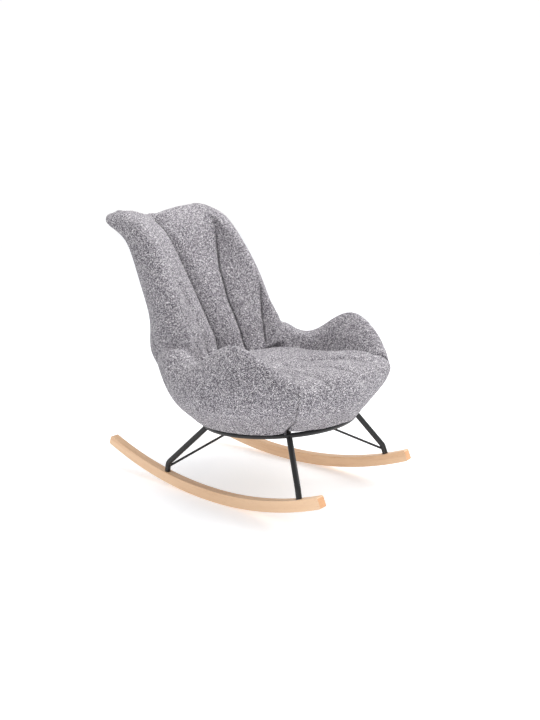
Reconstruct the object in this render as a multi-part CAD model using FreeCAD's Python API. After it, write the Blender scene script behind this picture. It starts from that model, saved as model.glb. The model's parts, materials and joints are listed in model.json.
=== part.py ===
"""Upholstered tub rocking chair: two bent-beech rockers, a welded steel base
and a padded bucket seat with rounded arms and a tall eared back.

Frame: +X to the right when seen from the front, +Y to the rear, +Z up, origin
on the floor under the middle of the chair.  Millimetres.  "right" and "left"
in piece names are also as seen from the front.
"""
import FreeCAD, Part
import math
import os
from FreeCAD import Vector as V

# ---------------------------------------------------------------- dimensions
# The shapes are drawn about a working origin and then moved so that the
# frame's origin lies under the middle of the chair.
TO_MIDDLE = V(0, -8.8, 0)

# rockers
CONTACT_Y = -7.0            # where the rockers touch the floor
FRONT_RADIUS = 1187.0       # underside radius ahead of the contact point
REAR_RADIUS = 1295.0        # underside radius behind it
FRONT_HEIGHT = 36.5         # section height at the front end
REAR_HEIGHT = 32.0          # section height at the rear end
ROCKER_WIDTH = 29.0
ROCKER_FRONT_END = -465.0   # arc ends, measured from the contact point
ROCKER_REAR_END = 479.0
ROCKER_SPACING = 477.5      # centre to centre at the contact point
TOE_IN = math.radians(2.44)  # the pair runs closer together at the rear

# steel base
RING_RADIUS = 254.0
RING_ROD = 8.0              # radius of the bar the ring is bent from
RING_CENTRE = V(0, -112, 249)
RING_TILT = 4.3             # degrees, rear edge lower
LEG_RADIUS = 9.5
LEG_WALL = 1.5
LEG_BEND = 28.0             # centre-line radius of the bend above the foot
BRACE_RADIUS = 4.0
FOOT_STUB = 32.0            # straight length between rocker and bend
FRONT_STUB_LEAN = V(-0.15, 0.27, 0.95)  # direction of that length, front right
BRACE_HEIGHT_SHARE = 0.5    # how far up that length the brace is welded
FRONT_LEG_ANGLE = 46.0      # ring angles from the front and from the rear
REAR_LEG_ANGLE = 56.6
FRONT_FOOT_Y = -379.0
REAR_FOOT_Y = 190.0
PLATE_SIZE = 132.0
PLATE_THICKNESS = 3.0
PLATE_LIFT = RING_ROD + 1.0  # top of the centre plate above the ring's own plane
TAB_LENGTH = 52.0
TAB_WIDTH = 24.0
TAB_THICKNESS = 3.0

# seat board that the steel base bolts to
BOARD_RADIUS = 228.0
BOARD_THICKNESS = 15.0

# upholstery
RECLINE = math.radians(31.5)
GAP = 0.5                   # clearance left between soft parts
BOARD_SIDE_GAP = 3.5        # around the rim of the seat board
PAD_LIFT = 1.5              # shadow gap between the ring and the padding


# ------------------------------------------------------------------- helpers
def save(name, shape):
    """Write one node."""
    if isinstance(shape, (list, tuple)):
        shape = Part.makeCompound(list(shape))
    shape = shape.translated(TO_MIDDLE)
    if not shape.isValid():
        print("not valid:", name)
    shape.exportStep("parts/%s.step" % name)
    print("%-26s %2d solid(s) %10.1f cm3" % (name, len(shape.Solids), shape.Volume / 1000))


def unit(vector):
    return V(vector).normalize()


def mirrored(shape):
    """The same piece on the other side of the chair."""
    return shape.mirror(V(0, 0, 0), V(1, 0, 0))


def both_sides(name, right_shape):
    """Save a right-hand piece and its mirror image."""
    save("right_" + name, right_shape)
    save("left_" + name, mirrored(right_shape))


def cylinder(radius, start, end):
    axis = end - start
    return Part.makeCylinder(radius, axis.Length, start, axis)


def bent_path(points, radius):
    """Straight runs joined by one tangent arc at each inner point."""
    edges = []
    start = points[0]
    for before, corner, after in zip(points, points[1:], points[2:]):
        to_before = unit(before - corner)
        to_after = unit(after - corner)
        half_turn = (math.pi - to_before.getAngle(to_after)) / 2
        setback = radius * math.tan(half_turn)
        arc_in = corner + to_before * setback
        arc_out = corner + to_after * setback
        bisector = unit(to_before + to_after)
        arc_mid = corner + bisector * (radius / math.cos(half_turn) - radius)
        edges.append(Part.LineSegment(start, arc_in).toShape())
        edges.append(Part.Arc(arc_in, arc_mid, arc_out).toShape())
        start = arc_out
    edges.append(Part.LineSegment(start, points[-1]).toShape())
    return Part.Wire(edges)


def rod(path, radius):
    """A round solid swept along a wire."""
    first = path.Edges[0]
    start = first.valueAt(first.FirstParameter)
    tangent = first.tangentAt(first.FirstParameter)
    circle = Part.Wire(Part.Circle(start, tangent, radius).toShape())
    return path.makePipeShell([circle], True, True, 2)


def biggest(shape):
    """The main lump of a shape that a cut may have split."""
    return max(shape.Solids, key=lambda solid: solid.Volume)


def middle_of(points):
    return sum(points, V(0, 0, 0)) / len(points)


def loft(loops):
    """Closed solid whose smooth skin runs through a stack of flat point loops."""
    steps = [float(step) for step in range(len(loops[0]) + 1)]
    heights = [0.0]
    for lower, upper in zip(loops, loops[1:]):
        heights.append(heights[-1] + (middle_of(upper) - middle_of(lower)).Length)
    rows = []
    for loop in loops:
        row = Part.BSplineCurve()
        row.interpolate(Points=loop, PeriodicFlag=True, Parameters=steps)
        rows.append(row)
    columns = []
    for poles in zip(*[row.getPoles() for row in rows]):
        column = Part.BSplineCurve()
        column.interpolate(Points=list(poles), Parameters=heights)
        columns.append(column)
    skin = Part.BSplineSurface()
    skin.buildFromPolesMultsKnots([column.getPoles() for column in columns],
                                  rows[0].getMultiplicities(), columns[0].getMultiplicities(),
                                  rows[0].getKnots(), columns[0].getKnots(),
                                  True, False, rows[0].Degree, columns[0].Degree)
    wall = skin.toShape()
    caps = [Part.Face(Part.Wire(skin.vIso(level).toShape())) for level in (heights[0], heights[-1])]
    shell = Part.makeShell([wall] + caps)
    shell.sewShape(0.001)
    solid = Part.makeSolid(Part.Shell(shell.Faces))
    if solid.Volume < 0:
        solid.reverse()
    return solid


# ------------------------------------------------------------------- rockers
def rocker_point(along, height_share):
    """Point of the rocker's side profile (y, z) at a distance from contact."""
    radius = FRONT_RADIUS if along < 0 else REAR_RADIUS
    angle = math.asin(along / radius)
    share = along / ROCKER_REAR_END if along > 0 else 0.0
    height = FRONT_HEIGHT + (REAR_HEIGHT - FRONT_HEIGHT) * share
    rise = radius * (1 - math.cos(angle))
    return (along - height * height_share * math.sin(angle),
            rise + height * height_share * math.cos(angle))


def rocker_top(along):
    """Point on the top face's centre line of the right rocker, and its normal."""
    y, z = rocker_point(along, 1.0)
    below_y, below_z = rocker_point(along, 0.0)
    normal = unit(V(0, y - below_y, z - below_z))
    x = ROCKER_SPACING / 2 - y * math.tan(TOE_IN)
    return V(x, CONTACT_Y + y, z), normal


def along_for_top_y(target_y):
    """Arc position whose top-face point lies at this y."""
    low, high = ROCKER_FRONT_END, ROCKER_REAR_END
    for _ in range(40):
        middle = (low + high) / 2
        if rocker_top(middle)[0].y < target_y:
            low = middle
        else:
            high = middle
    return (low + high) / 2


def profile_arc(start, middle, end, share):
    points = [V(0, *rocker_point(value, share)) for value in (start, middle, end)]
    return Part.Arc(*points).toShape()


def rocker_blank():
    """Bent-wood bar with rounded ends, toed in, on the right side."""
    front, rear = ROCKER_FRONT_END, ROCKER_REAR_END
    bottom = [profile_arc(front, front / 2, 0, 0), profile_arc(0, rear / 2, rear, 0)]
    top = [profile_arc(rear, rear / 2, 0, 1), profile_arc(0, front / 2, front, 1)]
    rear_end = Part.LineSegment(V(0, *rocker_point(rear, 0)), V(0, *rocker_point(rear, 1))).toShape()
    front_end = Part.LineSegment(V(0, *rocker_point(front, 1)), V(0, *rocker_point(front, 0))).toShape()
    outline = Part.Wire(bottom + [rear_end] + top + [front_end])
    bar = Part.Face(outline).extrude(V(ROCKER_WIDTH, 0, 0))
    end_edges = []
    for edge in bar.Edges:
        middle = edge.CenterOfMass
        straight_across = abs(edge.Length - ROCKER_WIDTH) < 0.1
        if straight_across and (middle.y < ROCKER_FRONT_END + 60 or middle.y > ROCKER_REAR_END - 60):
            end_edges.append(edge)
    bar = bar.makeFillet(5.0, end_edges)
    bar.translate(V(ROCKER_SPACING / 2 - ROCKER_WIDTH / 2, 0, 0))
    bar.rotate(V(ROCKER_SPACING / 2, 0, 0), V(0, 0, 1), math.degrees(TOE_IN))
    bar.translate(V(0, CONTACT_Y, 0))
    return bar


SCREW_RADIUS = 3.0
HEAD_RADIUS = 6.5
WASHER_RADIUS = 9.0
COUNTERBORE_RADIUS = 10.0
COUNTERBORE_DEPTH = 10.0


def foot_frames():
    """Right-hand feet: name, point on the rocker's top face, normal, height."""
    frames = []
    for name, foot_y in (("front", FRONT_FOOT_Y), ("rear", REAR_FOOT_Y)):
        along = along_for_top_y(foot_y)
        point, normal = rocker_top(along)
        share = along / ROCKER_REAR_END if along > 0 else 0.0
        height = FRONT_HEIGHT + (REAR_HEIGHT - FRONT_HEIGHT) * share
        frames.append((name, point, normal, height))
    return frames


def make_rockers():
    rocker = rocker_blank()
    for _, point, normal, height in foot_frames():
        underside = point - normal * height
        rocker = rocker.cut(cylinder(SCREW_RADIUS + 0.3, underside - normal * 5, point + normal * 5))
        rocker = rocker.cut(cylinder(COUNTERBORE_RADIUS, underside - normal * 5,
                                     underside + normal * COUNTERBORE_DEPTH))
    both_sides("rocker", rocker)


def make_rocker_fasteners():
    """Screws and washers that come up through the rockers into the feet."""
    screws, washers = [], []
    for _, point, normal, height in foot_frames():
        seat = point - normal * (height - COUNTERBORE_DEPTH)
        washer = cylinder(WASHER_RADIUS, seat - normal * 1.5, seat)
        washer = washer.cut(cylinder(SCREW_RADIUS + 0.2, seat - normal * 2, seat + normal))
        head = cylinder(HEAD_RADIUS, seat - normal * 6.0, seat - normal * 1.5)
        socket = cylinder(2.5, seat - normal * 6.5, seat - normal * 3.5)
        shank = cylinder(SCREW_RADIUS, seat - normal * 1.5, point + normal * 18)
        screws.append(head.cut(socket).fuse(shank).removeSplitter())
        washers.append(washer)
    save("rocker_screws", screws + [mirrored(item) for item in screws])
    save("rocker_washers", washers + [mirrored(item) for item in washers])


# ---------------------------------------------------------------- steel base
def on_ring(angle, outward=0.0, lift=0.0):
    """Point by the ring at an angle from the front, positive to +X."""
    turn = math.radians(angle)
    radius = RING_RADIUS + outward
    flat = V(radius * math.sin(turn), -radius * math.cos(turn), lift)
    tilt = FreeCAD.Rotation(V(1, 0, 0), -RING_TILT)
    return RING_CENTRE + tilt.multVec(flat)


def make_ring():
    ring = in_ring_plane(Part.makeTorus(RING_RADIUS, RING_ROD))
    save("seat_ring", ring)
    return ring


def leg_points():
    """Centre-line points of the two right-hand legs: foot, bend, weld."""
    legs = {}
    for name, point, normal, _ in foot_frames():
        upright = unit(FRONT_STUB_LEAN) if name == "front" else normal
        bend = point + upright * FOOT_STUB
        angle = FRONT_LEG_ANGLE if name == "front" else 180 - REAR_LEG_ANGLE
        weld = on_ring(angle, 0, -RING_ROD * 0.6)
        legs[name] = (point, bend, weld)
    return legs


def foot_normal(wanted):
    """Direction square to the rocker's top face at the named foot."""
    for name, _, normal, _ in foot_frames():
        if name == wanted:
            return normal


def make_legs(ring):
    for name, points in leg_points().items():
        foot, _, _ = points
        path = bent_path(list(points), LEG_BEND)
        outside = rod(path, LEG_RADIUS)
        inside = rod(path, LEG_RADIUS - LEG_WALL)
        below = Part.makeBox(80, 80, 40, V(foot.x - 40, foot.y - 40, foot.z - 40))
        turn = FreeCAD.Rotation(V(0, 0, 1), foot_normal(name))
        below.rotate(foot, turn.Axis, math.degrees(turn.Angle))
        tube = outside.cut(inside).cut(below).cut(ring)
        both_sides(name + "_leg", biggest(tube))


def make_leg_inserts():
    """Threaded plugs pressed into the feet of the legs."""
    plugs = []
    for name, points in leg_points().items():
        foot, bend, _ = points
        direction = unit(bend - foot)
        normal = foot_normal(name)
        plug = cylinder(LEG_RADIUS - LEG_WALL - 0.05, foot + direction * 3, foot + direction * 20)
        plug = plug.cut(cylinder(SCREW_RADIUS + 0.05, foot - normal * 10, foot + normal * 40))
        plugs.append(plug)
    save("leg_inserts", plugs + [mirrored(item) for item in plugs])


def plate_corner(name):
    """Where a brace meets the centre plate, right-hand side."""
    reach = PLATE_SIZE / 2 - 6
    flat = V(reach * 0.5, reach * (-1 if name == "front" else 1), PLATE_LIFT - PLATE_THICKNESS - BRACE_RADIUS)
    return RING_CENTRE + FreeCAD.Rotation(V(1, 0, 0), -RING_TILT).multVec(flat)


def make_braces():
    for name, points in leg_points().items():
        foot, bend, _ = points
        start = foot + (bend - foot) * BRACE_HEIGHT_SHARE
        end = plate_corner(name)
        direction = unit(end - start)
        leg = rod(bent_path(list(points), LEG_BEND), LEG_RADIUS)
        brace = cylinder(BRACE_RADIUS, start + direction * LEG_RADIUS * 0.6, end)
        both_sides(name + "_brace", biggest(brace.cut(leg)))


def in_ring_plane(shape):
    """Carry a shape drawn flat about the origin to the ring's tilted plane."""
    shape.rotate(V(0, 0, 0), V(1, 0, 0), -RING_TILT)
    shape.translate(RING_CENTRE)
    return shape


BOLT_RADIUS = 3.0
BOLT_HEAD_RADIUS = 5.5
BOLT_HEAD_HEIGHT = 4.0
PLATE_BOLT_OFFSET = 48.0
TAB_BOLT_RADIUS = RING_RADIUS - TAB_LENGTH + 11.0
TAB_ANGLES = (4.0, 94.0, 184.0, 274.0)


def fastener_spots():
    """Flat (x, y, lift) positions under the board: plate bolts, then tab bolts."""
    plate = [V(x * PLATE_BOLT_OFFSET, y * PLATE_BOLT_OFFSET, PLATE_LIFT - PLATE_THICKNESS)
             for x in (-1, 1) for y in (-1, 1)]
    tabs = []
    for angle in TAB_ANGLES:
        turn = math.radians(angle)
        tabs.append(V(TAB_BOLT_RADIUS * math.sin(turn), -TAB_BOLT_RADIUS * math.cos(turn),
                      PLATE_LIFT - TAB_THICKNESS))
    return plate, tabs


def make_centre_plate():
    half = PLATE_SIZE / 2
    plate = Part.makeBox(PLATE_SIZE, PLATE_SIZE, PLATE_THICKNESS,
                         V(-half, -half, PLATE_LIFT - PLATE_THICKNESS))
    plate = plate.makeFillet(10, [edge for edge in plate.Edges
                                  if abs(edge.Length - PLATE_THICKNESS) < 0.01])
    for spot in fastener_spots()[0]:
        plate = plate.cut(Part.makeCylinder(BOLT_RADIUS + 0.3, 10, spot - V(0, 0, 3)))
    save("centre_plate", in_ring_plane(plate))


def make_ring_tabs(ring):
    tabs = []
    inner = RING_RADIUS - TAB_LENGTH
    for angle, spot in zip(TAB_ANGLES, fastener_spots()[1]):
        tab = Part.makeBox(TAB_WIDTH, TAB_LENGTH, TAB_THICKNESS,
                           V(-TAB_WIDTH / 2, -RING_RADIUS, PLATE_LIFT - TAB_THICKNESS))
        tab = tab.makeFillet(8, [edge for edge in tab.Edges
                                 if abs(edge.Length - TAB_THICKNESS) < 0.01
                                 and edge.CenterOfMass.y > -inner - 1])
        tab.rotate(V(0, 0, 0), V(0, 0, 1), angle)
        tab = tab.cut(Part.makeCylinder(BOLT_RADIUS + 0.3, 10, spot - V(0, 0, 3)))
        tabs.append(in_ring_plane(tab).cut(ring))
    save("ring_tabs", [biggest(tab) for tab in tabs])


def hexagon_prism(across_corners, height, base):
    corners = [base + V(across_corners * math.cos(math.radians(60 * step)),
                        across_corners * math.sin(math.radians(60 * step)), 0)
               for step in range(7)]
    return Part.Face(Part.makePolygon(corners)).extrude(V(0, 0, height))


def make_board_fasteners():
    """Hexagon bolts up into the board, and the prong nuts that take them."""
    for name, spots in zip(("plate", "tab"), fastener_spots()):
        bolts, nuts = [], []
        for spot in spots:
            head = hexagon_prism(BOLT_HEAD_RADIUS, BOLT_HEAD_HEIGHT, spot - V(0, 0, BOLT_HEAD_HEIGHT))
            shank = Part.makeCylinder(BOLT_RADIUS, 20, spot)
            bolts.append(in_ring_plane(head.fuse(shank).removeSplitter()))
            board_top = V(spot.x, spot.y, PLATE_LIFT + BOARD_THICKNESS)
            flange = Part.makeCylinder(10, 1.5, board_top)
            barrel = Part.makeCylinder(4.2, 9, board_top - V(0, 0, 9))
            hole = Part.makeCylinder(BOLT_RADIUS + 0.05, 20, board_top - V(0, 0, 12))
            nuts.append(in_ring_plane(flange.fuse(barrel).cut(hole).removeSplitter()))
        save(name + "_bolts", bolts)
        save(name + "_nuts", nuts)


def make_board():
    """Round plywood board that everything above and below is fixed to."""
    board = Part.makeCylinder(BOARD_RADIUS, BOARD_THICKNESS, V(0, 0, PLATE_LIFT))
    for spots in fastener_spots():
        for spot in spots:
            board = board.cut(Part.makeCylinder(BOLT_RADIUS + 0.3, 40, spot - V(0, 0, 10)))
            top = V(spot.x, spot.y, PLATE_LIFT + BOARD_THICKNESS - 9.2)
            board = board.cut(Part.makeCylinder(4.3, 20, top))
    save("seat_board", in_ring_plane(board))


# ---------------------------------------------------------------- upholstery
def around(angle, radius, z):
    """Point at an angle from the front, positive to +X, about the ring's axis."""
    turn = math.radians(angle)
    return V(radius * math.sin(turn), RING_CENTRE.y - radius * math.cos(turn), z)


# Outside of the tub, from the ring up to the rim: (radius, height) at each
# angle from the front.
ARM_OUTSIDE = {
    44.4: [(254, 262), (296, 300), (332, 336), (354, 362), (374, 396), (374, 428), (356, 453)],
    62: [(254, 258), (299, 300), (339, 340), (365, 380), (378, 430), (376, 482), (350, 529)],
    77: [(254, 254), (300, 294), (342, 335), (369, 380), (378, 440), (371, 508), (340, 562)],
    93: [(254, 249), (301, 288), (345, 331), (371, 378), (376, 430), (364, 485), (328, 524)],
    107: [(254, 244), (303, 282), (350, 327), (376, 378), (382, 424), (366, 462), (328, 478)],
    120: [(254, 240), (306, 279), (354, 326), (381, 378), (390, 424), (378, 470), (340, 494)],
}
# Inside of the arms, from the rim down to the seat board.
ARM_INSIDE = {
    44.4: [(338, 452), (330, 432), (326, 400), (306, 362), (276, 322), (240, 262)],
    62: [(318, 516), (296, 478), (280, 440), (262, 390), (248, 335), (236, 258)],
    77: [(306, 544), (282, 498), (266, 445), (254, 390), (246, 335), (236, 254)],
    93: [(296, 509), (276, 475), (262, 435), (252, 385), (246, 330), (236, 249)],
    107: [(294, 468), (276, 448), (264, 418), (254, 378), (246, 325), (236, 244)],
    120: [(304, 484), (284, 456), (270, 418), (258, 375), (248, 322), (236, 240)],
}
# The same for the part of the tub that carries the back.
BOWL_OUTSIDE = {
    120: [(254, 240), (306, 279), (354, 326), (381, 378), (390, 424), (378, 470), (340, 494)],
    131: [(254, 236), (300, 267), (345, 312), (377, 362), (394, 410), (398, 465), (366, 500)],
    144: [(254, 233), (294, 260), (334, 300), (370, 347), (392, 388), (402, 436), (378, 470)],
    162: [(254, 229), (294, 257), (336, 297), (374, 345), (396, 386), (404, 428), (380, 458)],
    180: [(254, 228), (295, 256), (337, 296), (376, 345), (398, 386), (406, 426), (382, 456)],
}
BOWL_INSIDE = {
    120: [(304, 484), (284, 456), (270, 418), (258, 375), (248, 322), (236, 240)],
    131: [(330, 486), (298, 450), (276, 410), (260, 368), (248, 318), (236, 236)],
    144: [(338, 458), (300, 430), (276, 398), (260, 360), (248, 314), (236, 233)],
    162: [(340, 446), (302, 420), (278, 390), (262, 354), (248, 310), (236, 229)],
    180: [(342, 444), (304, 418), (280, 388), (264, 352), (248, 308), (236, 228)],
}


def tub_loop(angle, outside, inside, stretch=0.0):
    """Outline of the tub's wall at one angle; stretch pushes the outside out."""
    outer = [(radius + stretch, z) for radius, z in outside[angle]]
    return [around(angle, radius, z) for radius, z in outer + inside[angle]]


def arm_loops(stretch=0.0):
    return [tub_loop(angle, ARM_OUTSIDE, ARM_INSIDE, stretch) for angle in ARM_OUTSIDE]


def bowl_loops():
    right = [tub_loop(angle, BOWL_OUTSIDE, BOWL_INSIDE) for angle in BOWL_OUTSIDE]
    left = [[V(-point.x, point.y, point.z) for point in loop] for loop in reversed(right[:-1])]
    return right + left


# Reclined back: half outlines in planes square to the back.  Each row gives
# the distance up the back, then places in front of the back's datum line.
BACK_STATIONS = [
    # up, front, seam x, seam, tip x, tip, tip r, rear x, rear, rear r, rear middle
    (398, 112, 92, 145, 230, 164, 34, 204, 84, 60, -12),
    (432, 114, 92, 148, 232, 170, 34, 206, 88, 62, -10),
    (475, 116, 94, 150, 234, 180, 36, 208, 92, 64, -8),
    (520, 117, 96, 152, 230, 184, 36, 210, 98, 64, -4),
    (600, 118, 102, 155, 226, 190, 36, 208, 126, 58, 6),
    (700, 118, 118, 160, 220, 196, 37, 206, 145, 51, 16),
    (800, 116, 146, 167, 210, 193, 37, 200, 159, 49, 26),
    (860, 115, 160, 172, 204, 179, 39, 197, 162, 46, 31),
    (910, 112, 158, 169, 199, 159, 41, 195, 152, 44, 30),
    (955, 101, 142, 150, 194, 135, 40, 198, 127, 44, 24),
    (988, 86, 126, 127, 190, 116, 31, 201, 107, 38, 33),
    (1007, 71, 118, 110, 186, 105, 15, 196, 98, 22, 53),
]


def reclined(x, along, forward):
    """Point given square to the reclined back."""
    return V(x, along * math.sin(RECLINE) - forward * math.cos(RECLINE),
             along * math.cos(RECLINE) + forward * math.sin(RECLINE))


def on_circle(x, forward, radius, degrees):
    turn = math.radians(degrees)
    return x + radius * math.cos(turn), forward + radius * math.sin(turn)


def back_half(station):
    _, front, seam_x, seam, tip_x, tip, tip_r, rear_x, rear, rear_r, rear_middle = station
    points = [(seam_x * 0.5, front + (seam - front) * 0.42), (seam_x, seam)]
    points += [on_circle(tip_x, tip, tip_r, turn) for turn in (135, 85, 45, 5)]
    points += [on_circle(rear_x, rear, rear_r, turn) for turn in (-15, -50, -85)]
    points += [(rear_x * 0.55, rear_middle + (rear - rear_r - rear_middle) * 0.3)]
    return points


def back_loop(station):
    along = station[0]
    half = back_half(station)
    right = [reclined(x, along, forward) for x, forward in half]
    left = [reclined(-x, along, forward) for x, forward in reversed(half)]
    return [reclined(0, along, station[1])] + right + [reclined(0, along, station[-1])] + left


def back_loops():
    return [back_loop(station) for station in BACK_STATIONS]


# Seat cushion: plan outlines at rising heights.  Each row gives the height,
# the nose ahead of the ring's axis, the corner (x, y), the side and the rear.
SEAT_STATIONS = [
    (252, 252, 172, 276, 222, 18),
    (284, 274, 191, 299, 236, 30),
    (318, 302, 224, 330, 247, 46),
    (352, 318, 251, 358, 258, 66),
    (390, 328, 264, 376, 270, 88),
    (422, 324, 264, 379, 278, 104),
    (442, 308, 253, 365, 272, 112),
    (453, 282, 238, 342, 258, 108),
    (459, 238, 202, 296, 222, 82),
]


def seat_loop(station):
    z, nose, corner_x, corner_front, side, rear = station
    front = RING_CENTRE.y - nose
    shoulder = (corner_x * 0.55, front * 0.7 - corner_front * 0.3)
    half = [shoulder, (corner_x, -corner_front), (side, -265), (side, -150), (side * 0.97, -60),
            (side * 0.8, rear - 30), (side * 0.4, rear)]
    right = [V(x, y, z) for x, y in half]
    left = [V(-x, y, z) for x, y in reversed(half)]
    return [V(0, front, z)] + right + [V(0, rear, z)] + left


def seat_loops():
    return [seat_loop(station) for station in SEAT_STATIONS]


def swollen(loops):
    """The same loops a hair larger, to cut a neighbour with."""
    larger = []
    for loop in loops:
        middle = middle_of(loop)
        larger.append([point + unit(point - middle) * GAP for point in loop])
    return larger


def disc(radius, bottom, top):
    """A flat round slab in the ring's tilted plane."""
    return in_ring_plane(Part.makeCylinder(radius, top - bottom, V(0, 0, bottom)))


# Tubes buried in the padding
BACK_HOOP_RADIUS = 8.0
ARM_HOOP_RADIUS = 6.0
HOOP_CLEARANCE = 0.3


def on_board(angle, radius):
    """Point a little below the seat board's top face, where a hoop starts."""
    turn = math.radians(angle)
    flat = V(radius * math.sin(turn), -radius * math.cos(turn), PLATE_LIFT + BOARD_THICKNESS - 12)
    return RING_CENTRE + FreeCAD.Rotation(V(1, 0, 0), -RING_TILT).multVec(flat)


def back_hoop(radius):
    """Hoop that stiffens the back: up from the seat board and over."""
    right = [on_board(142, 190), reclined(120, 470, 76), reclined(120, 700, 99),
             reclined(116, 880, 106), reclined(92, 940, 76)]
    left = [V(-point.x, point.y, point.z) for point in reversed(right)]
    return rod(bent_path(right + left, 30.0), radius)


def arm_hoop(radius):
    """Hoop inside the right arm, standing on the seat board."""
    points = [on_board(62, 214), around(62, 310, 400), around(66, 336, 486),
              around(90, 330, 470), around(100, 310, 395), on_board(104, 214)]
    return rod(bent_path(points, 24.0), radius)


def make_upholstery():
    ring_top = RING_ROD + PAD_LIFT
    board_top = PLATE_LIFT + BOARD_THICKNESS
    under = disc(600, ring_top - 200, ring_top)
    board_room = disc(BOARD_RADIUS + BOARD_SIDE_GAP, ring_top, board_top + GAP)
    nut_room = disc(BOARD_RADIUS - 4, board_top, board_top + 3)
    board_space = disc(BOARD_RADIUS, board_top - 60, board_top)

    right_half = Part.makeBox(600, 1500, 1500, V(0, -600, 0))

    arm_room = loft(swollen(arm_loops(stretch=70.0)))
    back_room = loft(swollen(back_loops()))
    bowl_room = loft(swollen(bowl_loops()))
    back_hoop_room = back_hoop(BACK_HOOP_RADIUS + HOOP_CLEARANCE)
    arm_hoop_room = arm_hoop(ARM_HOOP_RADIUS + HOOP_CLEARANCE)

    arm = biggest(loft(arm_loops()).cut(under).cut(board_room).cut(back_room).cut(arm_hoop_room))
    both_sides("arm_cushion", arm)
    back = biggest(loft(back_loops()).cut(under).cut(board_room).cut(back_hoop_room))
    both_sides("back_cushion", biggest(back.common(right_half)))
    bowl = loft(bowl_loops()).cut(under).cut(board_room).cut(back_room)
    save("lower_back_cushion", biggest(bowl.cut(back_hoop_room)))

    seat = loft(seat_loops())
    for taken in (under, board_room, nut_room, arm_room, mirrored(arm_room), bowl_room, back_room,
                  back_hoop_room, arm_hoop_room, mirrored(arm_hoop_room)):
        seat = biggest(seat.cut(taken))
    save("seat_cushion", seat)

    save("back_hoop", back_hoop(BACK_HOOP_RADIUS).cut(board_space))
    both_sides("arm_hoop", arm_hoop(ARM_HOOP_RADIUS).cut(board_space))


def main():
    os.makedirs("parts", exist_ok=True)
    make_rockers()
    make_rocker_fasteners()
    ring = make_ring()
    make_legs(ring)
    make_leg_inserts()
    make_braces()
    make_centre_plate()
    make_ring_tabs(ring)
    make_board_fasteners()
    make_board()
    make_upholstery()


main()
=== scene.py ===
"""Looks of the upholstered tub rocking chair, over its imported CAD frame.

The padding is rebuilt from the CAD cushions as crowned, stitched forms under a
speckled boucle cloth.  The wood and steel pieces keep their CAD meshes and get
materials.  Metres throughout; the sitter faces -Y.
"""
import json
import math
import bmesh
import bpy
import numpy as np
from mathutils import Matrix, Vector
from mathutils.bvhtree import BVHTree


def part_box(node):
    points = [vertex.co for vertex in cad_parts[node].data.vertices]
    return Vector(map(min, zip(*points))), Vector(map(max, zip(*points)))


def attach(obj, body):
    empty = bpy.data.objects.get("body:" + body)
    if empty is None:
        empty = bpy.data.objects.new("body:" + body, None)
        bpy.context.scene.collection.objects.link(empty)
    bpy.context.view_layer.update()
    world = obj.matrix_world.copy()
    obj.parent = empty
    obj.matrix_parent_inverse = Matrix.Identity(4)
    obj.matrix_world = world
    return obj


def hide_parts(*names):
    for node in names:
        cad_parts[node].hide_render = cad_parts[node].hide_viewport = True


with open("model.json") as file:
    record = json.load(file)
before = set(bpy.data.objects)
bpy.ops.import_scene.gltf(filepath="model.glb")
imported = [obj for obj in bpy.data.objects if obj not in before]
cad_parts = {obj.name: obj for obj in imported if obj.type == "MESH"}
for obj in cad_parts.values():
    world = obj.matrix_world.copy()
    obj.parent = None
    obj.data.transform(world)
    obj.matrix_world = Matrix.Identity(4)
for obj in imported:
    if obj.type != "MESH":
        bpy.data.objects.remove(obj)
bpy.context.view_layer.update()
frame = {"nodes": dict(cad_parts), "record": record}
nodes = frame["nodes"]

MM = 0.001
RECLINE = math.radians(31.5)            # lean of the back
UP_BACK = np.array([0.0, math.sin(RECLINE), math.cos(RECLINE)])
OFF_BACK = np.array([0.0, -math.cos(RECLINE), math.sin(RECLINE)])
ring_low, ring_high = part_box("seat_ring")
RING_Y = (ring_low.y + ring_high.y) / 2
RING_Z = (ring_low.z + ring_high.z) / 2
RING_TILT = math.radians(4.3)           # its rear edge is the lower one
DATUM_Y = RING_Y + 0.112                # line on the floor that the back leans from
BACK_NODES = ["right_back_cushion", "left_back_cushion"]
ARM_NODES = ["right_arm_cushion", "left_arm_cushion"]
TUB_NODES = ARM_NODES + ["lower_back_cushion"] + BACK_NODES
HOOPS = ["back_hoop", "right_arm_hoop", "left_arm_hoop"]
WING_FOOT = (0.272, DATUM_Y + 0.074, 0.500)     # where the right wing meets the arm
WING_FOOT_REACH = 0.055


# ------------------------------------------------------------- mesh utilities
def copy_of(name, sources):
    """One new object holding copies of the meshes of several CAD nodes."""
    joined = bmesh.new()
    for source in sources:
        joined.from_mesh(nodes[source].data)
    mesh = bpy.data.meshes.new(name)
    joined.to_mesh(mesh)
    joined.free()
    piece = bpy.data.objects.new(name, mesh)
    bpy.context.scene.collection.objects.link(piece)
    return piece


def apply_modifiers(piece):
    """Bake every modifier into the piece's own mesh."""
    depsgraph = bpy.context.evaluated_depsgraph_get()
    mesh = bpy.data.meshes.new_from_object(piece.evaluated_get(depsgraph))
    piece.modifiers.clear()
    old = piece.data
    piece.data = mesh
    bpy.data.meshes.remove(old)


def remesh(piece, voxel):
    """Even closed quad skin over whatever the piece holds."""
    modifier = piece.modifiers.new("skin", "REMESH")
    modifier.mode = "VOXEL"
    modifier.voxel_size = voxel
    apply_modifiers(piece)


def points_of(piece):
    """The piece's vertices as rows of an array."""
    flat = np.empty(len(piece.data.vertices) * 3, np.float64)
    piece.data.vertices.foreach_get("co", flat)
    return flat.reshape(-1, 3)


def set_points(piece, points):
    piece.data.vertices.foreach_set("co", points.ravel())
    piece.data.update()


def normals_of(piece):
    flat = np.empty(len(piece.data.vertices) * 3, np.float32)
    piece.data.vertices.foreach_get("normal", flat)
    return flat.reshape(-1, 3).astype(np.float64)


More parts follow.
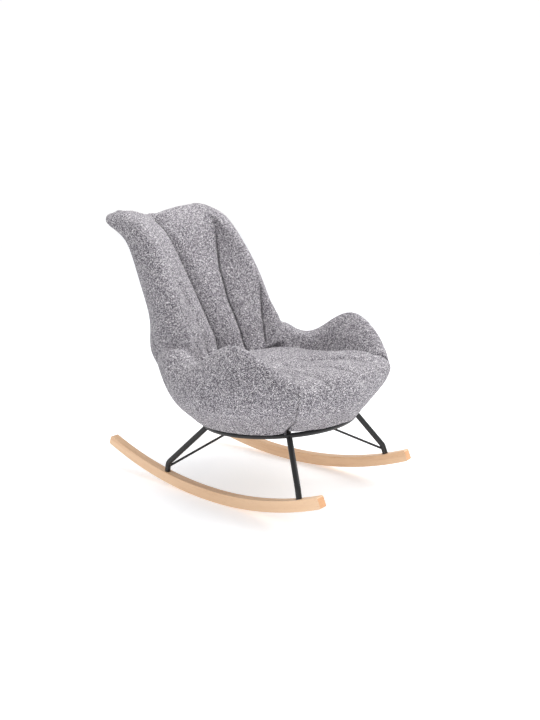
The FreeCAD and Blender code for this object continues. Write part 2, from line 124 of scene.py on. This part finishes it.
def edges_of(piece):
    flat = np.empty(len(piece.data.edges) * 2, np.int32)
    piece.data.edges.foreach_get("vertices", flat)
    return flat.reshape(-1, 2)


def relax(piece, weight, rounds):
    """Smooth the skin where weight is above zero, without shrinking it much."""
    points = points_of(piece)
    first, second = edges_of(piece).T
    count = np.bincount(first, minlength=len(points)) + np.bincount(second, minlength=len(points))
    count = np.maximum(count, 1)[:, None]
    weight = np.broadcast_to(np.asarray(weight, float), (len(points),))[:, None]
    for step in range(rounds):
        pull = 0.55 if step % 2 == 0 else -0.53
        total = np.empty_like(points)
        for axis in range(3):
            total[:, axis] = (np.bincount(first, points[second, axis], len(points))
                              + np.bincount(second, points[first, axis], len(points)))
        points += pull * weight * (total / count - points)
    set_points(piece, points)


def blend_in(points, sources, reach):
    """1 where a point is near two of the source solids, fading to 0 at reach."""
    nearest = np.full((len(points), 2), 1e3)
    depsgraph = bpy.context.evaluated_depsgraph_get()
    for source in sources:
        tree = BVHTree.FromObject(nodes[source], depsgraph)
        gaps = np.array([tree.find_nearest(point)[3] for point in points])
        nearest = np.sort(np.column_stack([nearest, gaps]), axis=1)[:, :2]
    return 1 - smooth_step(nearest[:, 1] / reach)


def near_wing_foot(points):
    """1 where a wing of the back runs down into an arm, fading to 0."""
    foot = np.array(WING_FOOT)
    mirrored = np.column_stack([np.abs(points[:, 0]), points[:, 1:]])
    return np.exp(-np.sum((mirrored - foot) ** 2, axis=1) / WING_FOOT_REACH ** 2)


def smooth_step(value):
    value = np.clip(value, 0.0, 1.0)
    return value * value * (3 - 2 * value)


def finish_piece(piece, replaced):
    """Smooth-shade one visual piece, hide the CAD parts it stands in for, and attach it to the root body."""
    for polygon in piece.data.polygons:
        polygon.use_smooth = True
    if replaced:
        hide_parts(*replaced)
    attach(piece, "root")


# --------------------------------------------------------- seam and channels
def reclined(points):
    """Across, up the back, and in front of its datum, for each point."""
    from_datum = points - np.array([0.0, DATUM_Y, 0.0])
    return points[:, 0], from_datum @ UP_BACK, from_datum @ OFF_BACK


def crease(distance, width):
    """Sharp valley at a seam with shoulders that round off over width."""
    return np.exp(-np.abs(distance) / width)


def stitched(distance, width=2.2 * MM):
    """The thin dip that the stitches pull along the seam line."""
    return np.exp(-(distance / width) ** 2)


CORNER_ANGLE = math.radians(44.6)       # of the corner seams, from the front
SEAM_CURL = 17 * MM                     # how far their feet curl towards the rear
CURL_START, CURL_SPAN = 0.335, 0.075    # height where that begins, and over how much
BACK_PROUD = 9 * MM                     # swell of the back between its seams
SEAM_SHADE_WIDTH = 2.6 * MM                   # of the painted shade along a seam

# Long seams of the back: distance up the back, distance out from the middle.
LONG_SEAM_UP = np.array([0.430, 0.517, 0.609, 0.722, 0.834, 0.900, 0.960])
LONG_SEAM_OUT = np.array([0.092, 0.096, 0.100, 0.121, 0.158, 0.176, 0.184])
SHORT_SEAM_UP = np.array([0.430, 0.506, 0.597, 0.680])
SHORT_SEAM_OUT = np.array([0.171, 0.185, 0.210, 0.222])


def back_channels(points, normals):
    """How far the cover of the back sinks, and the painted shade along its seams.

    The cover stands proud between the seams.
    """
    across, up, _ = reclined(points)
    out = np.abs(across)
    facing = smooth_step((normals @ OFF_BACK - 0.05) / 0.45) * smooth_step((up - 0.38) / 0.04)
    middle_strength = 1 - smooth_step((up - 0.955) / 0.07)
    sink = middle_strength * (17 * MM * crease(out, 27 * MM) + 5 * MM * stitched(out))
    long_out = np.interp(up, LONG_SEAM_UP, LONG_SEAM_OUT)
    long_strength = 1 - smooth_step((up - 0.78) / 0.15)
    sink += long_strength * (13 * MM * crease(out - long_out, 19 * MM)
                             + 5 * MM * stitched(out - long_out))
    short_out = np.interp(up, SHORT_SEAM_UP, SHORT_SEAM_OUT)
    short_strength = 1 - smooth_step((up - 0.56) / 0.10)
    sink += short_strength * (11 * MM * crease(out - short_out, 15 * MM)
                              + 5 * MM * stitched(out - short_out))
    proud = BACK_PROUD * (1 - smooth_step((out - long_out - 0.02) / 0.075))
    proud *= smooth_step((up - 0.44) / 0.06) * (1 - smooth_step((up - 0.90) / 0.08))
    # Painted shade: how much the cloth is darkened along each seam.
    seam_shade = np.maximum.reduce([middle_strength * stitched(out, SEAM_SHADE_WIDTH),
                              long_strength * stitched(out - long_out, SEAM_SHADE_WIDTH),
                              short_strength * stitched(out - short_out, SEAM_SHADE_WIDTH)])
    return (sink - proud) * facing, seam_shade * facing


def from_corner_seam(points):
    """Distance to one side of the front corner seams, and whether outside."""
    across, forward = np.abs(points[:, 0]), RING_Y - points[:, 1]
    side = across * math.cos(CORNER_ANGLE) - forward * math.sin(CORNER_ANGLE)
    ahead = across * math.sin(CORNER_ANGLE) + forward * math.cos(CORNER_ANGLE)
    return side, smooth_step((ahead - 0.19) / 0.04)


def corner_seam(points):
    """Dip along the seams that join the arms to the seat's front corners, and the painted shade along them.
    """
    side, outside = from_corner_seam(points)
    side = side - SEAM_CURL * smooth_step((CURL_START - points[:, 2]) / CURL_SPAN)
    tuck = 1 - smooth_step((points[:, 2] - 0.262) / 0.070)
    sink = outside * (1.5 * MM * crease(side, 6 * MM) + 13 * MM * tuck * crease(side, 10 * MM))
    # Painted shade along the corner seam, darkest where it tucks in at the foot.
    return sink, outside * (0.12 + 0.88 * tuck) * stitched(side, 1.6 * SEAM_SHADE_WIDTH)


def close_corner_seam(piece, amount):
    """Draw the two sides of each corner seam together; its foot curls rearward."""
    points = points_of(piece)
    side, outside = from_corner_seam(points)
    pull = -np.sign(side) * amount * outside * np.exp(-(side / (12 * MM)) ** 2)
    low = smooth_step((CURL_START - points[:, 2]) / CURL_SPAN)
    pull += SEAM_CURL * low * outside * np.exp(-(side / (70 * MM)) ** 2)
    points[:, 0] += pull * np.sign(points[:, 0]) * math.cos(CORNER_ANGLE)
    points[:, 1] += pull * math.sin(CORNER_ANGLE)
    set_points(piece, points)


def seat_channels(points, normals):
    """The same for the seat: one seam down the middle and one to each side."""
    out, forward = np.abs(points[:, 0]), DATUM_Y - points[:, 1]
    facing = smooth_step((normals[:, 2] - 0.05) / 0.5)
    reach = smooth_step((forward - 0.10) / 0.08) * (1 - smooth_step((forward - 0.35) / 0.11))
    fan = 0.116 + 0.14 * (forward - 0.25)
    sink = reach * (10 * MM * crease(out, 26 * MM) + 2.5 * MM * stitched(out))
    sink += reach * (10 * MM * crease(out - fan, 24 * MM) + 2.5 * MM * stitched(out - fan))
    # Painted shade along these seams.
    seam_shade = reach * np.maximum(stitched(out, SEAM_SHADE_WIDTH), stitched(out - fan, SEAM_SHADE_WIDTH))
    corner_sink, corner_seam_shade = corner_seam(points)
    return sink * facing + corner_sink, np.maximum(seam_shade * facing, corner_seam_shade)


def tub_channels(points, normals):
    """The same for the back and the arms together."""
    sink, seam_shade = back_channels(points, normals)
    corner_sink, corner_seam_shade = corner_seam(points)
    return sink + corner_sink, np.maximum(seam_shade, corner_seam_shade)


def sink_by(piece, rule):
    """Sink the cover by its seams, and store the painted shade along them on its points."""
    points, normals = points_of(piece), normals_of(piece)
    sink, seam_shade = rule(points, normals)
    set_points(piece, points - normals * sink[:, None])
    # The painted shade goes on the points, for the cloth material to darken by.
    mark = piece.data.attributes.new("painted_seam_shade", "FLOAT", "POINT")
    mark.data.foreach_set("value", seam_shade.astype(np.float32))


def puff(piece, rule, frames=12, pressure=4.0, cap=7 * MM):
    """Swell the cover as cloth under pressure, held along its seam lines."""
    rest, outward = points_of(piece), normals_of(piece)
    # The band of painted seam shade also marks where the cloth is held.
    seam_shade = rule(rest, outward)[1]
    held = piece.vertex_groups.new(name="held")
    for level in range(1, 6):
        chosen = np.flatnonzero(np.round(np.clip(seam_shade * 1.6, 0, 1) * 5) == level)
        held.add(chosen.tolist(), level / 5, "REPLACE")
    cloth = piece.modifiers.new("cloth", "CLOTH")
    cloth.settings.vertex_group_mass = "held"
    cloth.settings.quality = 4
    cloth.settings.use_pressure = True
    cloth.settings.uniform_pressure_force = pressure
    cloth.settings.effector_weights.gravity = 0.0
    cloth.collision_settings.use_collision = False
    cloth.point_cache.frame_start = 1
    cloth.point_cache.frame_end = frames
    for moment in range(1, frames + 1):
        bpy.context.scene.frame_set(moment)
    apply_modifiers(piece)
    bpy.context.scene.frame_set(1)
    piece.vertex_groups.clear()
    moved = points_of(piece) - rest
    length = np.linalg.norm(moved, axis=1)
    moved *= (np.minimum(length, cap) / np.maximum(length, 1e-9))[:, None]
    swell = np.median(np.sum(moved * outward, axis=1))      # keep the overall size
    set_points(piece, rest + moved - outward * swell)


def dish(piece):
    """Let the seat's top fall away from the nose towards the back."""
    points = points_of(piece)
    forward = DATUM_Y - points[:, 1]
    high = smooth_step((points[:, 2] - 0.36) / 0.09)
    points[:, 2] -= DISH_DEPTH * high * (1 - smooth_step((forward - 0.08) / 0.27))
    set_points(piece, points)


def settle(piece):
    """Let the lowest edge of a cover come down onto the ring."""
    points = points_of(piece)
    above = ((points[:, 1] - RING_Y) * math.sin(RING_TILT)
             + (points[:, 2] - RING_Z) * math.cos(RING_TILT))
    points[:, 2] -= SETTLE_DEPTH * (1 - smooth_step((above - 9 * MM) / (30 * MM)))
    set_points(piece, points)


def subdivide_once(piece):
    modifier = piece.modifiers.new("finer", "SUBSURF")
    modifier.levels = modifier.render_levels = 1
    apply_modifiers(piece)


# ------------------------------------------------------------------ materials
def new_material(name):
    material = bpy.data.materials.new(name)
    material.use_nodes = True
    tree = material.node_tree
    tree.nodes.clear()
    output = tree.nodes.new("ShaderNodeOutputMaterial")
    shader = tree.nodes.new("ShaderNodeBsdfPrincipled")
    tree.links.new(shader.outputs["BSDF"], output.inputs["Surface"])
    return material, tree, shader


def node(tree, kind, settings=None, **inputs):
    """Add a node; settings are its own properties, inputs are values or links.

    An input is named by its label, or by its number as i0, i1 and so on.
    """
    made = tree.nodes.new(kind)
    for key, value in (settings or {}).items():
        setattr(made, key, value)
    for key, value in inputs.items():
        numbered = key.startswith("i") and key[1:].isdigit()
        socket = made.inputs[int(key[1:])] if numbered else made.inputs[key.replace("_", " ")]
        if isinstance(value, bpy.types.NodeSocket):
            tree.links.new(value, socket)
        else:
            socket.default_value = value
    return made


def ramp(tree, fac, stops, interpolation="LINEAR"):
    made = tree.nodes.new("ShaderNodeValToRGB")
    made.color_ramp.interpolation = interpolation
    elements = made.color_ramp.elements
    while len(elements) < len(stops):
        elements.new(0.5)
    for element, (place, colour) in zip(elements, stops):
        element.position = place
        element.color = (*colour, 1.0)
    tree.links.new(fac, made.inputs["Fac"])
    return made.outputs["Color"]


def math_node(tree, operation, first, second=0.0):
    return node(tree, "ShaderNodeMath", {"operation": operation}, i0=first, i1=second).outputs[0]


def fabric_material():
    """Boucle: short loops of light, mid and dark yarn packed side by side, with painted shade along the
    seams.
    """
    material, tree, shader = new_material("boucle_fabric")
    place = node(tree, "ShaderNodeTexCoord").outputs["Object"]
    wobble = node(tree, "ShaderNodeTexNoise", Vector=place, Scale=160.0, Detail=2.0).outputs["Color"]
    bent = node(tree, "ShaderNodeMixRGB", {"blend_type": "LINEAR_LIGHT"},
                Fac=0.004, Color1=place, Color2=wobble).outputs["Color"]
    loops = node(tree, "ShaderNodeTexVoronoi", Vector=bent, Scale=540.0)
    fine = node(tree, "ShaderNodeTexVoronoi", Vector=bent, Scale=860.0)
    pick = node(tree, "ShaderNodeSeparateColor", Color=loops.outputs["Color"]).outputs[0]
    pick_fine = node(tree, "ShaderNodeSeparateColor", Color=fine.outputs["Color"]).outputs[1]
    mixed = math_node(tree, "ADD", math_node(tree, "MULTIPLY", pick, 0.6),
                      math_node(tree, "MULTIPLY", pick_fine, 0.4))
    yarn = ramp(tree, mixed, [(0.14, (0.026, 0.022, 0.030)), (0.36, (0.098, 0.087, 0.106)),
                              (0.54, (0.225, 0.208, 0.236)), (0.68, (0.470, 0.445, 0.475)),
                              (0.82, (0.980, 0.960, 0.970))])
    shade = node(tree, "ShaderNodeTexNoise", Vector=place, Scale=14.0, Detail=3.0).outputs["Fac"]
    shade = math_node(tree, "ADD", math_node(tree, "MULTIPLY", shade, 0.26), 0.87)
    tone = node(tree, "ShaderNodeVectorMath", {"operation": "SCALE"}, i0=yarn, Scale=shade)
    # Painted shade: the cloth is darkened by up to 62% along its seams, as if their grooves lay in shadow.
    seam_shade = node(tree, "ShaderNodeAttribute", {"attribute_name": "painted_seam_shade"}).outputs["Fac"]
    light = math_node(tree, "SUBTRACT", 1.0, math_node(tree, "MULTIPLY", seam_shade, 0.62))
    tone = node(tree, "ShaderNodeVectorMath", {"operation": "SCALE"}, i0=tone.outputs["Vector"], Scale=light)
    tree.links.new(tone.outputs["Vector"], shader.inputs["Base Color"])
    height = math_node(tree, "MULTIPLY", loops.outputs["Distance"], -1.0)
    height = math_node(tree, "ADD", height, math_node(tree, "MULTIPLY", fine.outputs["Distance"], -0.5))
    bump = node(tree, "ShaderNodeBump", Strength=0.55, Distance=0.0016, Height=height)
    tree.links.new(bump.outputs["Normal"], shader.inputs["Normal"])
    rough = math_node(tree, "ADD", math_node(tree, "MULTIPLY", pick, 0.12), 0.84)
    tree.links.new(rough, shader.inputs["Roughness"])
    shader.inputs["Sheen Weight"].default_value = 0.12
    shader.inputs["Sheen Roughness"].default_value = 0.55
    shader.inputs["Specular IOR Level"].default_value = 0.25
    return material


def wood_material(name, light, dark, grain_radius):
    """Straight-grained wood, darker on the ends; the grain follows the bend."""
    material, tree, shader = new_material(name)
    coordinates = node(tree, "ShaderNodeTexCoord")
    place = coordinates.outputs["Object"]
    across, along, up = node(tree, "ShaderNodeSeparateXYZ", Vector=place).outputs
    if grain_radius:
        rise = math_node(tree, "MULTIPLY", math_node(tree, "MULTIPLY", along, along), 0.5 / grain_radius)
        up = math_node(tree, "SUBTRACT", up, rise)
    slow = math_node(tree, "MULTIPLY", along, 0.06)
    grain_place = node(tree, "ShaderNodeCombineXYZ", X=across, Y=slow, Z=up).outputs[0]
    figure = node(tree, "ShaderNodeTexNoise", Vector=grain_place, Scale=26.0, Detail=4.0,
                  Distortion=0.6).outputs["Fac"]
    fibre = node(tree, "ShaderNodeTexNoise", Vector=grain_place, Scale=420.0, Detail=3.0).outputs["Fac"]
    fleck_along = math_node(tree, "MULTIPLY", along, 0.16)
    fleck_place = node(tree, "ShaderNodeCombineXYZ", X=across, Y=fleck_along, Z=up).outputs[0]
    flecks = node(tree, "ShaderNodeTexVoronoi", Vector=fleck_place, Scale=260.0).outputs["Distance"]
    fleck_mask = math_node(tree, "LESS_THAN", flecks, 0.16)
    value = math_node(tree, "ADD", math_node(tree, "MULTIPLY", figure, 0.75),
                      math_node(tree, "MULTIPLY", fibre, 0.25))
    middle = tuple(0.5 * (a + b) for a, b in zip(light, dark))
    colour = ramp(tree, value, [(0.33, dark), (0.52, light), (0.72, middle)])
    flecked = node(tree, "ShaderNodeMixRGB", {"blend_type": "MULTIPLY"},
                   Fac=math_node(tree, "MULTIPLY", fleck_mask, 0.22), Color1=colour,
                   Color2=(0.62, 0.42, 0.26, 1.0)).outputs["Color"]
    facing = node(tree, "ShaderNodeSeparateXYZ", Vector=coordinates.outputs["Normal"]).outputs[1]
    end_grain = ramp(tree, math_node(tree, "ABSOLUTE", facing), [(0.80, (0, 0, 0)), (0.93, (1, 1, 1))])
    ends = node(tree, "ShaderNodeMixRGB", {"blend_type": "MULTIPLY"},
                Fac=end_grain, Color1=flecked, Color2=(0.86, 0.66, 0.50, 1.0)).outputs["Color"]
    tree.links.new(ends, shader.inputs["Base Color"])
    tree.links.new(math_node(tree, "ADD", math_node(tree, "MULTIPLY", fibre, 0.16), 0.36),
                   shader.inputs["Roughness"])
    bump = node(tree, "ShaderNodeBump", Strength=0.12, Distance=0.0004, Height=fibre)
    tree.links.new(bump.outputs["Normal"], shader.inputs["Normal"])
    shader.inputs["Coat Weight"].default_value = 0.18
    shader.inputs["Coat Roughness"].default_value = 0.32
    return material


def steel_material(name, colour, metallic, low_rough, high_rough, grain):
    material, tree, shader = new_material(name)
    place = node(tree, "ShaderNodeTexCoord").outputs["Object"]
    cloudy = node(tree, "ShaderNodeTexNoise", Vector=place, Scale=grain, Detail=3.0).outputs["Fac"]
    spread = math_node(tree, "MULTIPLY", cloudy, high_rough - low_rough)
    tree.links.new(math_node(tree, "ADD", spread, low_rough), shader.inputs["Roughness"])
    tone = ramp(tree, cloudy, [(0.30, tuple(0.82 * part for part in colour)), (0.70, colour)])
    tree.links.new(tone, shader.inputs["Base Color"])
    bump = node(tree, "ShaderNodeBump", Strength=0.08, Distance=0.0003,
                Height=node(tree, "ShaderNodeTexNoise", Vector=place, Scale=1400.0).outputs["Fac"])
    tree.links.new(bump.outputs["Normal"], shader.inputs["Normal"])
    shader.inputs["Metallic"].default_value = metallic
    return material


def give(piece, material):
    piece.data.materials.clear()
    piece.data.materials.append(material)


# ----------------------------------------------------------------- upholstery
VOXEL = 5 * MM
SEAM_PULL = 4 * MM
DISH_DEPTH = 34 * MM
SETTLE_DEPTH = 5 * MM
BACK_SPLIT_UP = 0.50                    # the back cover starts here, up the back
ARM_SPLIT_Y = DATUM_Y + 0.030           # the arm covers end here
fabric = fabric_material()


def split(piece, name, place, normal):
    """Cut off what lies on the normal's side as a new closed piece."""
    halves = []
    for keep_far in (False, True):
        half = bmesh.new()
        half.from_mesh(piece.data)
        cut = bmesh.ops.bisect_plane(half, geom=half.verts[:] + half.edges[:] + half.faces[:],
                                     plane_co=place, plane_no=normal,
                                     clear_outer=not keep_far, clear_inner=keep_far)
        rim = [item for item in cut["geom_cut"] if isinstance(item, bmesh.types.BMEdge)]
        for edge in rim:
            edge.smooth = False
        caps = bmesh.ops.edgenet_fill(half, edges=rim)["faces"]
        bmesh.ops.triangulate(half, faces=caps)
        halves.append(half)
    halves[0].to_mesh(piece.data)
    mesh = bpy.data.meshes.new(name)
    halves[1].to_mesh(mesh)
    for half in halves:
        half.free()
    other = bpy.data.objects.new(name, mesh)
    bpy.context.scene.collection.objects.link(other)
    give(other, fabric)
    return other


tub = copy_of("lower_back_cover", TUB_NODES + HOOPS)
remesh(tub, VOXEL)
relax(tub, blend_in(points_of(tub), TUB_NODES, 65 * MM), 170)
relax(tub, near_wing_foot(points_of(tub)), 160)
relax(tub, 1.0, 8)
puff(tub, tub_channels)
settle(tub)
close_corner_seam(tub, SEAM_PULL)
subdivide_once(tub)
sink_by(tub, tub_channels)
give(tub, fabric)
back = split(tub, "back_cover", Vector((0, DATUM_Y, 0)) + Vector(UP_BACK) * BACK_SPLIT_UP, Vector(UP_BACK))
right_arm = split(tub, "right_arm_cover", (0, ARM_SPLIT_Y, 0), (0, -1, 0))
left_arm = split(right_arm, "left_arm_cover", (0, 0, 0), (-1, 0, 0))
finish_piece(back, BACK_NODES)
finish_piece(tub, ["lower_back_cushion"])
finish_piece(right_arm, ["right_arm_cushion"])
finish_piece(left_arm, ["left_arm_cushion"])

seat = copy_of("seat_cover", ["seat_cushion"])
remesh(seat, VOXEL)
relax(seat, 1.0, 14)
puff(seat, seat_channels)
dish(seat)
settle(seat)
close_corner_seam(seat, SEAM_PULL)
subdivide_once(seat)
sink_by(seat, seat_channels)
give(seat, fabric)
finish_piece(seat, ["seat_cushion"])

# ------------------------------------------------------------- hard materials
wood = wood_material("beech", (0.87, 0.59, 0.37), (0.74, 0.45, 0.25), 1.24)
plywood = wood_material("plywood", (0.52, 0.36, 0.20), (0.36, 0.23, 0.12), 0.0)
black = steel_material("black_powder_coat", (0.010, 0.010, 0.011), 0.0, 0.30, 0.42, 90.0)
zinc = steel_material("zinc_plate", (0.42, 0.43, 0.44), 1.0, 0.28, 0.46, 160.0)
BY_SLOT = {"rocker_wood": wood, "plywood": plywood, "frame_steel": black, "fastener_steel": zinc}
for subpart in frame["record"]["subparts"]:
    look = BY_SLOT.get(subpart["material_slot"])
    if look:
        give(nodes[subpart["node"]], look)

# --------------------------------------------------------------- studio stage
floor_mesh = bpy.data.meshes.new("floor")
floor_mesh.from_pydata([(-6, -6, 0), (6, -6, 0), (6, 6, 0), (-6, 6, 0)], [], [(0, 1, 2, 3)])
floor = bpy.data.objects.new("floor", floor_mesh)
bpy.context.scene.collection.objects.link(floor)
floor_look, floor_tree, floor_shader = new_material("pale_floor")
floor_shader.inputs["Base Color"].default_value = (0.93, 0.93, 0.94, 1)
floor_shader.inputs["Roughness"].default_value = 0.6
floor_shader.inputs["Emission Color"].default_value = (0.93, 0.96, 1.0, 1)
floor_shader.inputs["Emission Strength"].default_value = 0.36   # keeps the shadows faint
give(floor, floor_look)

world = bpy.data.worlds.new("studio")
bpy.context.scene.world = world
world.use_nodes = True
world.node_tree.nodes["Background"].inputs["Color"].default_value = (1, 1, 1, 1)
seen = world.node_tree.nodes.new("ShaderNodeLightPath").outputs["Is Camera Ray"]
strength = world.node_tree.nodes.new("ShaderNodeMapRange")
strength.inputs["To Min"].default_value = 0.70     # light on the object
strength.inputs["To Max"].default_value = 1.02     # plain white behind it
world.node_tree.links.new(seen, strength.inputs["Value"])
world.node_tree.links.new(strength.outputs["Result"],
                          world.node_tree.nodes["Background"].inputs["Strength"])
bpy.context.scene.view_settings.view_transform = "Standard"

CENTRE = Vector((0, -0.05, 0.45))


def softbox(name, place, size, power):
    data = bpy.data.lights.new(name, "AREA")
    data.shape = "RECTANGLE"
    data.size = data.size_y = size
    data.energy = power
    lamp = bpy.data.objects.new(name, data)
    lamp.location = place
    lamp.rotation_euler = (CENTRE - Vector(place)).to_track_quat("-Z", "Y").to_euler()
    bpy.context.scene.collection.objects.link(lamp)


softbox("key", (2.4, -1.9, 2.7), 2.2, 66)
softbox("top", (0.2, 0.1, 3.4), 2.0, 62)

# --------------------------------------------------------------------- camera
TURN, RISE = math.radians(-52.617), math.radians(14.079)
CAMERA_DISTANCE = 3.1175
TARGET = Vector((0, DATUM_Y - 0.0738, 0.4346))
towards_camera = Vector((math.sin(TURN) * math.cos(RISE), -math.cos(TURN) * math.cos(RISE), math.sin(RISE)))
camera_data = bpy.data.cameras.new("camera")
camera_data.lens = 46.68
camera_data.sensor_width = 36.0
camera = bpy.data.objects.new("camera", camera_data)
camera.location = TARGET + towards_camera * CAMERA_DISTANCE
camera.rotation_euler = towards_camera.to_track_quat("Z", "Y").to_euler()
bpy.context.scene.collection.objects.link(camera)
bpy.context.scene.camera = camera
